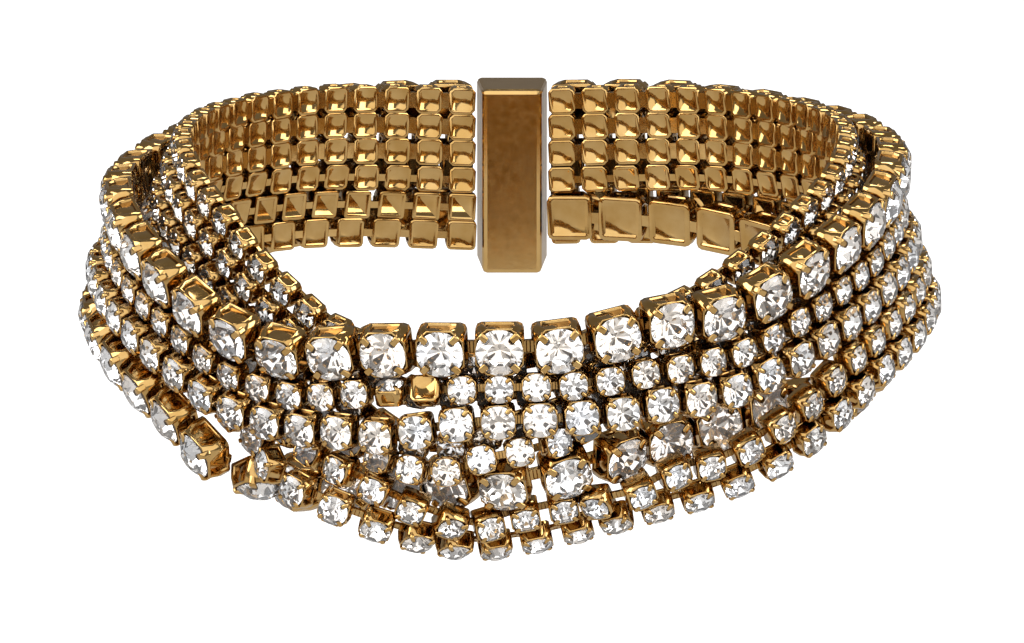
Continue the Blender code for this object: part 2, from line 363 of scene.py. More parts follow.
def start_edit(piece: bpy.types.Object, part: Part) -> None:
    """Enter one piece's edit mode.

    Args:
        piece: The piece to shape.
        part: Whether edges or faces are picked next.
    """
    take_up(piece)
    bpy.ops.object.mode_set(mode="EDIT")
    bpy.ops.mesh.select_mode(type=part.value)


def pick(piece: bpy.types.Object, part: Part, test: Callable[..., bool]) -> None:
    """Select the edges or faces that pass a test, in edit mode.

    Args:
        piece: The piece in edit mode.
        part: Whether the test is given edges or faces.
        test: Takes one bmesh edge or face and says whether it is wanted.
    """
    shape = bmesh.from_edit_mesh(piece.data)
    shape.normal_update()
    wanted = [item for item in (shape.edges if part is Part.EDGES else shape.faces) if test(item)]
    bpy.ops.mesh.select_all(action="DESELECT")
    for item in wanted:
        item.select_set(True)
    bmesh.update_edit_mesh(piece.data)


def end_edit() -> None:
    """Make the faces point outward and leave edit mode."""
    bpy.ops.mesh.select_all(action="SELECT")
    bpy.ops.mesh.normals_make_consistent(inside=False)
    bpy.ops.object.mode_set(mode="OBJECT")


def cut_off(point: Point, outward: Vector) -> None:
    """Cut the piece in edit mode along a plane, close the cut and drop what lies outside.

    Args:
        point: A point on the plane, in metres.
        outward: The plane's normal.
    """
    bpy.ops.mesh.select_all(action="SELECT")
    bpy.ops.mesh.bisect(plane_co=point, plane_no=outward, use_fill=True, clear_outer=True, threshold=MERGE)


def start_block(name: str, size: Point, middle: Point) -> bpy.types.Object:
    """A block at its size and place, ready to be shaped.

    Args:
        name: The piece's name.
        size: Its length, width and height in metres.
        middle: Its middle in metres.

    Returns:
        The block, active and alone in the selection.
    """
    clear_selection()
    bpy.ops.mesh.primitive_cube_add(size=1, location=middle, scale=size)
    block = bpy.context.object
    block.name = name
    bpy.ops.object.transform_apply(location=True, rotation=True, scale=True)
    return block


def apply_modifier(piece: bpy.types.Object, kind: str, **settings: object) -> None:
    """Add one modifier, set it and apply it.

    Args:
        piece: The piece it works on.
        kind: The modifier's type.
        **settings: Its properties and their values.
    """
    take_up(piece)
    modifier = piece.modifiers.new(kind.title(), kind)
    for key, value in settings.items():
        setattr(modifier, key, value)
    bpy.ops.object.modifier_apply(modifier=modifier.name)


def soften_edges(piece: bpy.types.Object, width: float, rows: int, above: float) -> None:
    """Round the sharp edges of a pattern.

    Args:
        piece: The pattern.
        width: Width of the rounding in metres.
        rows: Rows of faces in it.
        above: Edges over this angle in degrees are rounded.
    """
    apply_modifier(piece, "BEVEL", width=width, segments=rows, limit_method="ANGLE", angle_limit=radians(above))


def take_mesh(piece: bpy.types.Object, smooth_below: float) -> bpy.types.Mesh:
    """Shade a finished pattern, take its mesh and remove its object.

    Args:
        piece: The modelled pattern.
        smooth_below: Edges under this angle in degrees are shaded smooth.

    Returns:
        The pattern's mesh.
    """
    take_up(piece)
    bpy.ops.object.shade_smooth_by_angle(angle=radians(smooth_below))
    mesh = piece.data
    bpy.data.objects.remove(piece, do_unlink=True)
    return mesh


def add_copies(joined: bmesh.types.BMesh, pattern: bpy.types.Mesh, places: list[Matrix]) -> None:
    """Add a copy of a pattern at each place.

    Args:
        joined: The mesh that takes the copies.
        pattern: The mesh that repeats.
        places: One matrix for each copy.
    """
    for place in places:
        copy = pattern.copy()
        copy.transform(place)
        joined.from_mesh(copy)
        bpy.data.meshes.remove(copy)


@dataclass
class Cup:
    """One square cup with its four claws, its floor at z=0 and its mouth up.

    Lengths are shares of its width and angles are in degrees. The claw's neck is its step in and its rise, and each
    of its bends is a step toward the stone, a rise and the share of its section that is left.
    """

    size: CupSize
    thickness: float = 0.05
    rim_gap: float = 0.02
    mouth: float = 0.535
    shoulder: float = 0.34
    edge: float = 0.016
    sharp_above: float = 50
    smooth_below: float = 52
    claw_width: float = 0.15
    claw_post: float = 0.1
    claw_foot: float = 0.22
    claw_height: float = 0.23
    claw_reach: float = 0.045
    claw_neck: tuple[float, float] = (0.03, 0.075)
    claw_bends: tuple[Point, ...] = ((0.1, 0.02, 1.0), (0.07, -0.012, 0.8))
    claw_sharp_above: float = 30
    claw_smooth_below: float = 60
    window_margin: float = 0.075
    slit_margin: float = 0.13
    window_depth: float = 0.09
    floor_margin: float = 0.12
    floor_slope: float = 0.03
    floor_dish: float = 0.035

    def build(self) -> bpy.types.Mesh:
        """Shape the cup from a block and set its claws.

        Returns:
            The cup's mesh.
        """
        w, rim = self.size.width, self.size.depth - self.rim_gap * self.size.width
        cup = start_block("cup", (w, w, rim), (0, 0, rim / 2))
        start_edit(cup, Part.EDGES)
        pick(cup, Part.EDGES, lambda e: abs(e.verts[0].co.z - e.verts[1].co.z) > rim / 2)
        bpy.ops.mesh.bevel(offset=self.size.corner * w, segments=self.size.rounding, affect="EDGES")
        self.trim_corners(rim)
        bpy.ops.mesh.select_mode(type="FACE")
        pick(cup, Part.FACES, lambda f: f.normal.z > FLAT)
        bpy.ops.mesh.delete(type="FACE")
        bpy.ops.object.mode_set(mode="OBJECT")
        apply_modifier(cup, "SOLIDIFY", thickness=self.thickness * w, offset=-1, use_even_offset=True)
        self.sink_walls(cup)
        self.sink_floor(cup)
        soften_edges(cup, self.edge * w, 1, self.sharp_above)
        cup_mesh = take_mesh(cup, self.smooth_below)
        claw_mesh = self.claw(rim)
        joined = bmesh.new()
        joined.from_mesh(cup_mesh)
        add_copies(joined, claw_mesh, [Matrix.Rotation(turn, 4, "Z") for turn in self.corner_turns()])
        joined.to_mesh(cup_mesh)
        joined.free()
        bpy.data.meshes.remove(claw_mesh)
        return cup_mesh

    def corner_turns(self) -> list[float]:
        """Directions of the four corners, in radians."""
        return [radians(45 + 90 * corner) for corner in range(4)]

    def trim_corners(self, rim: float) -> None:
        """Slope the mouth's four corners inward, so that it closes round the stone.

        Args:
            rim: Height of the cup's rim.
        """
        w = self.size.width
        full = (0.5 - self.size.corner) * 2 ** 0.5 * w + self.size.corner * w
        lean = full - self.mouth * w
        for turn in self.corner_turns():
            slant = Vector((self.shoulder * w * cos(turn), self.shoulder * w * sin(turn), lean))
            cut_off((self.mouth * w * cos(turn), self.mouth * w * sin(turn), rim), slant.normalized())

    def claw(self, rim: float) -> bpy.types.Mesh:
        """Bend one claw, on +X, from its post at the cup's corner over the stone's edge.

        Args:
            rim: Height of the cup's rim.

        Returns:
            The claw's mesh.
        """
        w = self.size.width
        reach = (self.mouth + self.claw_reach) * w
        post, height = self.claw_post * w, self.claw_height * w
        low = rim - self.claw_foot * w
        claw = start_block("claw", (post, self.claw_width * w, height), (reach - post / 2, 0, low + height / 2))
        start_edit(claw, Part.FACES)
        pick(claw, Part.FACES, lambda f: f.normal.z > FLAT)
        inward, up = self.claw_neck
        bpy.ops.mesh.extrude_region_move(TRANSFORM_OT_translate={"value": (-inward * w, 0, up * w)})
        top = rim + 0.03 * w

        def is_tongue(face: bmesh.types.BMFace) -> bool:
            """Whether a face is the claw's end, which looks at the stone."""
            spot = face.calc_center_median()
            return face.normal.x < -0.6 and spot.z > top

        for step, rise, narrow in self.claw_bends:
            pick(claw, Part.FACES, is_tongue)
            bpy.ops.mesh.extrude_region_move(TRANSFORM_OT_translate={"value": (-step * w, 0, rise * w)})
            bpy.ops.transform.resize(value=(1, narrow, narrow))
        end_edit()
        width, rows = self.size.claw_bevel
        soften_edges(claw, width * w, rows, self.claw_sharp_above)
        return take_mesh(claw, self.claw_smooth_below)

    def sink_walls(self, cup: bpy.types.Object) -> None:
        """Sink a window or a slit into each outer wall, or leave the walls flat.

        Args:
            cup: The open cup.
        """
        if self.size.wall is Wall.PLAIN:
            return
        w = self.size.width
        start_edit(cup, Part.FACES)

        def is_wall(face: bmesh.types.BMFace) -> bool:
            """Whether a face is one of the four large outer walls."""
            spot = face.calc_center_median()
            return face.calc_area() > 0.1 * w * w and (
                (abs(face.normal.x) > SQUARE_ON and abs(spot.x) > 0.49 * w)
                or (abs(face.normal.y) > SQUARE_ON and abs(spot.y) > 0.49 * w)
            )

        margin = self.window_margin if self.size.wall is Wall.WINDOW else self.slit_margin
        pick(cup, Part.FACES, is_wall)
        bpy.ops.mesh.inset(thickness=margin * w, depth=0, use_individual=True)
        bpy.ops.mesh.inset(thickness=UPRIGHT * w, depth=-self.window_depth * w, use_individual=True)
        end_edit()

    def sink_floor(self, cup: bpy.types.Object) -> None:
        """Press a shallow dish into the outside of the floor.

        Args:
            cup: The open cup.
        """
        w = self.size.width
        start_edit(cup, Part.FACES)
        pick(cup, Part.FACES, lambda f: f.normal.z < -FLAT and abs(f.calc_center_median().z) < 0.01 * w)
        bpy.ops.mesh.inset(thickness=self.floor_margin * w, depth=0, use_individual=True)
        bpy.ops.mesh.inset(thickness=self.floor_slope * w, depth=-self.floor_dish * w, use_individual=True)
        end_edit()


@dataclass
class Strap:
    """The small creased plate that joins two cups at their floors. Lengths are shares of the cup's width."""

    size: CupSize
    overlap: float = 0.1
    thickness: float = 0.12
    crease: float = 0.035
    edge: float = 0.01
    sharp_above: float = 40

    def build(self) -> bpy.types.Mesh:
        """Shape the plate from a block, its middle over the origin.

        Returns:
            The plate's mesh.
        """
        w = self.size.width
        length = self.size.pitch - w + self.overlap * w
        wide = self.size.strap * w
        thick = self.thickness * w
        plate = start_block("strap", (length, wide, thick), (0, 0, thick * 0.75))
        start_edit(plate, Part.EDGES)
        pick(plate, Part.EDGES, lambda e: abs(e.verts[0].co.x - e.verts[1].co.x) > length / 2)
        bpy.ops.mesh.subdivide(number_cuts=2)
        bpy.ops.mesh.select_mode(type="FACE")

        def is_crease(face: bmesh.types.BMFace) -> bool:
            """Whether a face is on the plate's top, at its middle."""
            return face.normal.z > FLAT and abs(face.calc_center_median().x) < length * 0.05

        pick(plate, Part.FACES, is_crease)
        bpy.ops.mesh.inset(thickness=UPRIGHT * w, depth=-self.crease * w, use_individual=True)
        end_edit()
        soften_edges(plate, self.edge * w, 1, self.sharp_above)
        return take_mesh(plate, self.sharp_above)


@dataclass
class Stone:
    """One round cut stone, its girdle at the cup's depth: clear crown over a foiled pavilion.

    The table is a share of the radius's way to the axis, the heights are shares of the stone's width, and the star,
    crown half and pavilion half facets are steeper or flatter than the main ones by the factors given.
    """

    size: CupSize
    table: float = 0.5
    crown: float = 0.17
    pavilion: float = 0.45
    girdle: float = 0.012
    star: float = 0.62
    crown_half: float = 1.22
    pavilion_half: float = 1.08
    sides: int = 32
    smooth_below: float = 1

    def build(self) -> bpy.types.Mesh:
        """Cut the stone from a round blank, facet by facet.

        Returns:
            The stone's mesh, its crown on the first material and its pavilion on the second.
        """
        r, z = self.size.stone / 2, self.size.depth
        top, low = self.crown * 2 * r, self.pavilion * 2 * r
        clear_selection()
        bpy.ops.mesh.primitive_cylinder_add(
            vertices=self.sides, radius=r, depth=top + low, location=(0, 0, z + (top - low) / 2),
        )
        stone = bpy.context.object
        bpy.ops.object.transform_apply(location=True, rotation=True, scale=True)
        start_edit(stone, Part.FACES)
        edge = self.girdle * r
        slope = top / (r * (1 - self.table * cos(pi / 8)))
        for i in range(8):
            turn = i * pi / 4
            self.grind(turn, r, z + edge, slope)
            self.grind(turn + pi / 8, r * self.table, z + top, self.star * slope)
            self.grind(turn, r, z - edge, -low / r)
        for i in range(16):
            turn = (i + 0.5) * pi / 8
            self.grind(turn, r, z + edge, slope * self.crown_half)
            if self.size.cut is Cut.FULL:
                self.grind(turn, r, z - edge, -low / r * self.pavilion_half)
        end_edit()
        for face in stone.data.polygons:
            face.material_index = 1 if face.center.z < z - edge / 2 else 0
        return take_mesh(stone, self.smooth_below)

    def grind(self, turn: float, reach: float, height: float, slope: float) -> None:
        """Cut one facet and keep what lies inside it.

        Args:
            turn: Direction the facet faces round the stone, in radians.
            reach: Distance from the axis of a point on the facet.
            height: Height of that point.
            slope: Rise toward the axis per metre, negative for a facet that looks down.
        """
        up = 1 if slope > 0 else -1
        slant = Vector((cos(turn) * abs(slope), sin(turn) * abs(slope), up))
        cut_off((reach * cos(turn), reach * sin(turn), height), slant.normalized())


def read(rows: Table, name: str, turn: float) -> float:
    """Value of a table's column at a turn, on a smooth curve that keeps between its rows.

    Args:
        rows: The table, each row with its turn.
        name: The column.
        turn: Where to read it, in degrees.

    Returns:
        The value, in the column's own unit.
    """
    turn = min(max(turn, rows[0].turn), rows[-1].turn)
    last = len(rows) - 1
    i = 0
    while i < last - 1 and turn > rows[i + 1].turn:
        i += 1

    def rise(k: int) -> float:
        """Rise a degree between row k and the next."""
        return (getattr(rows[k + 1], name) - getattr(rows[k], name)) / (rows[k + 1].turn - rows[k].turn)

    def slope(k: int) -> float:
        """The curve's slope at row k, level at an end, a peak or a dip."""
        if k in (0, last) or rise(k - 1) * rise(k) <= 0:
            return 0.0
        return 2 * rise(k - 1) * rise(k) / (rise(k - 1) + rise(k))

    gap = rows[i + 1].turn - rows[i].turn
    u = (turn - rows[i].turn) / gap
    ease = u * u * (3 - 2 * u)
    return (
        getattr(rows[i], name) * (1 - ease)
        + getattr(rows[i + 1], name) * ease
        + gap * slope(i) * u * (1 - u) ** 2
        - gap * slope(i + 1) * u * u * (1 - u)
    )


@dataclass(frozen=True)
class Route:
    """The way of one chain round the neck."""

    rows: Table

    def point(self, turn: float) -> tuple[Vector, float]:
        """The chain's floor at a turn.

        Args:
            turn: Degrees from the front toward +X.

        Returns:
            The point in metres and the angle that the stones look up from level, in radians.
        """
        flare = radians(read(NECK, "flare", turn))
        drop = read(self.rows, "drop", turn)
        lift = read(self.rows, "lift", turn)
        reach = read(NECK, "reach", turn) + drop * sin(flare) + lift * cos(flare)
        height = read(NECK, "height", turn) - drop * cos(flare) + lift * sin(flare)
        around = radians(turn)
        spot = Vector((reach * sin(around), -reach * cos(around), height)) * MM
        return spot, flare + radians(read(self.rows, "tip", turn))

    def frame(self, turn: float) -> Matrix:
        """Matrix that lays a pattern on the chain, its x along it and its z outward.

        Args:
            turn: Degrees from the front toward +X.

        Returns:
            The pattern's matrix.
        """
        spot, look = self.point(turn)
        along = (self.point(turn + 0.5)[0] - self.point(turn - 0.5)[0]).normalized()
        around = radians(turn)
        out = Vector((sin(around) * cos(look), -cos(around) * cos(look), sin(look)))
        out = (out - along * out.dot(along)).normalized()
        turned = Matrix((along, out.cross(along), out)).transposed()
        return Matrix.Translation(spot) @ turned.to_4x4()

    def even_turns(self, inset: float, pitch: float) -> list[float]:
        """Turns of points spaced evenly along the chain.

        Args:
            inset: Length from an end to the first point.
            pitch: Spacing to come near to.

        Returns:
            The turns in degrees, from the end on the left to the end on the right.
        """
        turns = [-END_TURN + 2 * END_TURN * i / ROUTE_STEPS for i in range(ROUTE_STEPS + 1)]
        places = [self.point(turn)[0] for turn in turns]
        run = [0.0]
        for before, after in zip(places, places[1:]):
            run.append(run[-1] + (after - before).length)
        count = round((run[-1] - 2 * inset) / pitch)
        found = []
        at = 0
        for i in range(count + 1):
            want = inset + (run[-1] - 2 * inset) * i / count
            while at < ROUTE_STEPS - 1 and run[at + 1] < want:
                at += 1
            share = (want - run[at]) / (run[at + 1] - run[at])
            found.append(turns[at] + share * (turns[at + 1] - turns[at]))
        return found


def finish_piece(name: str, shape: bmesh.types.BMesh, materials: list[bpy.types.Material]) -> bpy.types.Object:
    """Turn joined copies into a named piece of the scene.

    Args:
        name: The piece's name.
        shape: Its joined copies, freed here.
        materials: Its materials in slot order.

    Returns:
        The piece.
    """
    mesh = bpy.data.meshes.new(name)
    shape.to_mesh(mesh)
    shape.free()
    for material in materials:
        mesh.materials.append(material)
    piece = bpy.data.objects.new(name, mesh)
    bpy.context.scene.collection.objects.link(piece)
    LOG.info("%s: %d faces", name, len(mesh.polygons))
    return piece


def add_sockets(group: bpy.types.NodeTree, inputs: dict[str, tuple[str, object]], outputs: dict[str, str]) -> None:
    """Give a node group its named inputs, with their defaults, and outputs.

    Args:
        group: The new group.
        inputs: Name to socket type and default value.
        outputs: Name to socket type.
    """
    for name, (kind, value) in inputs.items():
        socket = group.interface.new_socket(name=name, in_out="INPUT", socket_type=kind)
        socket.default_value = value
    for name, kind in outputs.items():
        group.interface.new_socket(name=name, in_out="OUTPUT", socket_type=kind)


def mix_colors(
    tree: bpy.types.NodeTree, share: bpy.types.NodeSocket, low: bpy.types.NodeSocket, high: bpy.types.NodeSocket
) -> bpy.types.NodeSocket:
    """Mix two colours in a node tree.

    Args:
        tree: The tree.
        share: Mask that is 0 for the low and 1 for the high colour.
        low: The low colour.
        high: The high colour.

    Returns:
        The mixed colour.
    """
    mixed = tree.nodes.new("ShaderNodeMix")
    mixed.data_type = "RGBA"
    tree.links.new(share, mixed.inputs["Factor"])
    tree.links.new(low, mixed.inputs["A"])
    tree.links.new(high, mixed.inputs["B"])
    return mixed.outputs["Result"]


def add_noise(
    tree: bpy.types.NodeTree, place: bpy.types.Node, scale: float | bpy.types.NodeSocket, detail: float
) -> bpy.types.NodeSocket:
    """Noise over Object coordinates.

    Args:
        tree: The tree it goes into.
        place: The tree's texture coordinates.
        scale: Its scale, as a number or as a socket that gives it.
        detail: Its detail.

    Returns:
        The noise's value.
    """
    noise = tree.nodes.new("ShaderNodeTexNoise")
    noise.inputs["Detail"].default_value = detail
    tree.links.new(place.outputs["Object"], noise.inputs["Vector"])
    if isinstance(scale, bpy.types.NodeSocket):
        tree.links.new(scale, noise.inputs["Scale"])
    else:
        noise.inputs["Scale"].default_value = scale
    return noise.outputs["Fac"]


def stretch(tree: bpy.types.NodeTree, value: bpy.types.NodeSocket, low: float, high: float) -> bpy.types.Node:
    """Map Range node that brings a value's middle part to 0 to 1.

    Args:
        tree: The tree it goes into.
        value: The value.
        low: The value that becomes 0.
        high: The value that becomes 1.

    Returns:
        The node.
    """
    node = tree.nodes.new("ShaderNodeMapRange")
    node.inputs["From Min"].default_value = low
    node.inputs["From Max"].default_value = high
    tree.links.new(value, node.inputs["Value"])
    return node


def recess_group() -> bpy.types.NodeTree:
    """Group for painted shade between the rows: a colour that turns dark where a surface lies deep among others, by
    ambient occlusion.
    """
    group = bpy.data.node_groups.new("recess_painted_shade", "ShaderNodeTree")
    add_sockets(
        group,
        {
            "Color": ("NodeSocketColor", (0.8, 0.8, 0.8, 1)),
            "Painted Shade": ("NodeSocketColor", (0.1, 0.04, 0.01, 1)),
            "Reach": ("NodeSocketFloat", 0.002),
            "Clear Above": ("NodeSocketFloat", 0.8),
        },
        {"Color": "NodeSocketColor"},
    )
    nodes, links = group.nodes, group.links
    given = nodes.new("NodeGroupInput")
    result = nodes.new("NodeGroupOutput")
    # Painted shade: ambient occlusion pulls the colour toward the dark shade colour where other surfaces lie within
    # reach.
    recess = nodes.new("ShaderNodeAmbientOcclusion")
    recess.samples = 4
    links.new(given.outputs["Reach"], recess.inputs["Distance"])
    shade = stretch(group, recess.outputs["AO"], 0.1, 1)
    links.new(given.outputs["Clear Above"], shade.inputs["From Max"])
    shaded_color = mix_colors(group, shade.outputs["Result"], given.outputs["Painted Shade"], given.outputs["Color"])
    links.new(shaded_color, result.inputs["Color"])
    return group


def plating_group() -> bpy.types.NodeTree:
    """Group for polished plating: cloudy colour, uneven polish and fine marks, over Object coordinates."""
    group = bpy.data.node_groups.new("polished_plating", "ShaderNodeTree")
    add_sockets(
        group,
        {
            "Bright": ("NodeSocketColor", (0.85, 0.58, 0.25, 1)),
            "Deep": ("NodeSocketColor", (0.6, 0.33, 0.1, 1)),
            "Cloud Scale": ("NodeSocketFloat", 260.0),
            "Polish": ("NodeSocketFloat", 0.1),
            "Dull": ("NodeSocketFloat", 0.26),
        },
        {"Color": "NodeSocketColor", "Roughness": "NodeSocketFloat", "Height": "NodeSocketFloat"},
    )
    nodes, links = group.nodes, group.links
    given = nodes.new("NodeGroupInput")
    result = nodes.new("NodeGroupOutput")
    place = nodes.new("ShaderNodeTexCoord")
    cloud = stretch(group, add_noise(group, place, given.outputs["Cloud Scale"], 3), 0.36, 0.64)
    tone = mix_colors(group, cloud.outputs["Result"], given.outputs["Deep"], given.outputs["Bright"])
    links.new(tone, result.inputs["Color"])
    rubbed = stretch(group, add_noise(group, place, 900, 2), 0.3, 0.75)
    links.new(given.outputs["Polish"], rubbed.inputs["To Min"])
    links.new(given.outputs["Dull"], rubbed.inputs["To Max"])
    links.new(rubbed.outputs["Result"], result.inputs["Roughness"])
    links.new(add_noise(group, place, 1600, 1), result.inputs["Height"])
    return group


def tint_group() -> bpy.types.NodeTree:
    """Group for a tint that drifts from stone to stone, over Object coordinates."""
    group = bpy.data.node_groups.new("stone_tint", "ShaderNodeTree")
    add_sockets(
        group,
        {
            "Cool": ("NodeSocketColor", (0.97, 0.98, 1, 1)),
            "Warm": ("NodeSocketColor", (1, 0.96, 0.92, 1)),
            "Scale": ("NodeSocketFloat", 120.0),
        },
        {"Color": "NodeSocketColor"},
    )
    given = group.nodes.new("NodeGroupInput")
    result = group.nodes.new("NodeGroupOutput")
    place = group.nodes.new("ShaderNodeTexCoord")
    drift = stretch(group, add_noise(group, place, given.outputs["Scale"], 1), 0.4, 0.6)
    tone = mix_colors(group, drift.outputs["Result"], given.outputs["Cool"], given.outputs["Warm"])
    group.links.new(tone, result.inputs["Color"])
    return group


def place_group(
    material: bpy.types.Material, group: bpy.types.NodeTree, values: dict[str, float | Color]
) -> bpy.types.Node:
    """Put a shared group into a material with the material's own values.

    Args:
        material: The material.
        group: The shared group.
        values: Input name to number or colour.

    Returns:
        The group's node.
    """
    node = material.node_tree.nodes.new("ShaderNodeGroup")
    node.node_tree = group
    for name, value in values.items():
        node.inputs[name].default_value = (*value, 1) if isinstance(value, tuple) else value
    return node


def new_material(name: str) -> tuple[bpy.types.Material, bpy.types.Node]:
    """A material with its Principled shader.

    Args:
        name: The material's name.

    Returns:
        The material and its shader node.
    """
    material = bpy.data.materials.new(name)
    material.use_nodes = True
    return material, material.node_tree.nodes["Principled BSDF"]


@dataclass(frozen=True)
class Plating:
    """Polished gold plating, with painted shade darkening it in recesses."""

    name: str
    bright: Color
    deep: Color
    polish: float
    dull: float
    mark_depth: float

    def material(self, group: bpy.types.NodeTree, shade_group: bpy.types.NodeTree) -> bpy.types.Material:
        """The plating's material.

        Args:
            group: The shared plating group.
            shade_group: The shared group that paints shade into recesses.

        Returns:
            The material.
        """
        material, shader = new_material(self.name)
        links = material.node_tree.links
        shader.inputs["Metallic"].default_value = 1
        plating = place_group(
            material, group, {"Bright": self.bright, "Deep": self.deep, "Polish": self.polish, "Dull": self.dull}
        )
        # Painted shade: the gold turns dark brown where other surfaces lie close.
        recess = place_group(material, shade_group, {})
        links.new(plating.outputs["Color"], recess.inputs["Color"])
        links.new(recess.outputs["Color"], shader.inputs["Base Color"])
        links.new(plating.outputs["Roughness"], shader.inputs["Roughness"])
        bump = material.node_tree.nodes.new("ShaderNodeBump")
        bump.inputs["Strength"].default_value = 1
        bump.inputs["Distance"].default_value = self.mark_depth
        links.new(plating.outputs["Height"], bump.inputs["Height"])
        links.new(bump.outputs["Normal"], shader.inputs["Normal"])
        return material


@dataclass(frozen=True)
class CrownGlass:
    """The clear crown of a cut stone, with painted shade: darker where it lies behind other rows."""

    name: str
    painted_shade_color: Color
    reach: float
    clear_above: float
    cool: Color = (0.98, 0.99, 1.0)
    warm: Color = (1.0, 0.97, 0.94)
    ior: float = 1.6

    def material(self, group: bpy.types.NodeTree, shade_group: bpy.types.NodeTree) -> bpy.types.Material:
        """The crown's material.

        Back faces keep the plain tint, because inside the glass the stone's own back would count as a recess and
        take the painted shade.

        Args:
            group: The shared tint group.
            shade_group: The shared group that paints shade into recesses.

        Returns:
            The material.
        """
        material, shader = new_material(self.name)
        tree = material.node_tree
        shader.inputs["Transmission Weight"].default_value = 1
        shader.inputs["Roughness"].default_value = 0
        shader.inputs["IOR"].default_value = self.ior
        tint = place_group(material, group, {"Cool": self.cool, "Warm": self.warm})
        # Painted shade: the crown's colour turns to the dark shade colour where other surfaces lie close.
        recess = place_group(
            material, shade_group, {"Painted Shade": self.painted_shade_color, "Reach": self.reach, "Clear Above": self.clear_above}
        )
        tree.links.new(tint.outputs["Color"], recess.inputs["Color"])
        inside = tree.nodes.new("ShaderNodeNewGeometry").outputs["Backfacing"]
        color = mix_colors(tree, inside, recess.outputs["Color"], tint.outputs["Color"])
        tree.links.new(color, shader.inputs["Base Color"])
        return material


@dataclass(frozen=True)
class Foil:
    """The silvered back of a cut stone, with a painted glow: a faint light of its own that brightens the dark
    facets.
    """

    name: str
    painted_glow: float
    cool: Color = (0.95, 0.96, 0.98)
    warm: Color = (0.98, 0.94, 0.89)
    drift: float = 210
    roughness: float = 0.05

    def material(self, group: bpy.types.NodeTree) -> bpy.types.Material:
        """The foil's material.

        Args:
            group: The shared tint group.

        Returns:
            The material.
        """
        material, shader = new_material(self.name)
        shader.inputs["Metallic"].default_value = 1
        shader.inputs["Roughness"].default_value = self.roughness
        # Painted glow: the foil emits a faint light, though it is no lamp, so that dark facets look lit.
        shader.inputs["Emission Strength"].default_value = self.painted_glow
        tint = place_group(material, group, {"Cool": self.cool, "Warm": self.warm, "Scale": self.drift})
        for socket in ("Base Color", "Emission Color"):
            material.node_tree.links.new(tint.outputs["Color"], shader.inputs[socket])
        return material


@dataclass
class Wardrobe:
    """Every finish of the necklace, made once."""

    gold: Plating = Plating("chain_gold", (0.65, 0.42, 0.163), (0.56, 0.335, 0.108), 0.07, 0.16, 0.000003)
    clasp_gold: Plating = Plating("clasp_gold", (0.71, 0.46, 0.18), (0.66, 0.42, 0.155), 0.12, 0.2, 0.000003)
    # Painted shade: crowns turn dark brown within 3 mm of other surfaces; the foil paints a faint glow into the
    # facets.
    crown: CrownGlass = CrownGlass("stone_crown", (0.1, 0.05, 0.02), 3 * MM, 0.45)
    foil: Foil = Foil("stone_foil", 0.055)
    # Shaded copies for the inner chains: deeper painted shade with a longer reach and a fainter painted glow.
    inner_crown: CrownGlass = CrownGlass("inner_stone_crown", (0.03, 0.015, 0.005), 6 * MM, 0.4)
    inner_foil: Foil = Foil("inner_stone_foil", 0.01)
    metals: dict[str, bpy.types.Material] = field(default_factory=dict)
    stones: dict[Layer, list[bpy.types.Material]] = field(default_factory=dict)

    def fill(self) -> None:
        """Make the groups and the materials."""
        plating, tint, shade_group = plating_group(), tint_group(), recess_group()
        self.metals["gold"] = self.gold.material(plating, shade_group)
        self.metals["clasp_gold"] = self.clasp_gold.material(plating, shade_group)
        self.stones[Layer.OUTER] = [self.crown.material(tint, shade_group), self.foil.material(tint)]
        self.stones[Layer.INNER] = [self.inner_crown.material(tint, shade_group), self.inner_foil.material(tint)]


@dataclass
class Patterns:
    """The cup, strap and stone of each size, modelled once."""

    made: dict[CupSize, tuple[bpy.types.Mesh, bpy.types.Mesh, bpy.types.Mesh]] = field(default_factory=dict)

    def of(self, size: CupSize) -> tuple[bpy.types.Mesh, bpy.types.Mesh, bpy.types.Mesh]:
        """The patterns of a size, modelled at the first call.

        Args:
            size: The cup size.

        Returns:
            The cup's, the strap's and the stone's mesh.
        """
        if size not in self.made:
            self.made[size] = (Cup(size).build(), Strap(size).build(), Stone(size).build())
            LOG.info("patterns: %s", [len(mesh.polygons) for mesh in self.made[size]])
        return self.made[size]


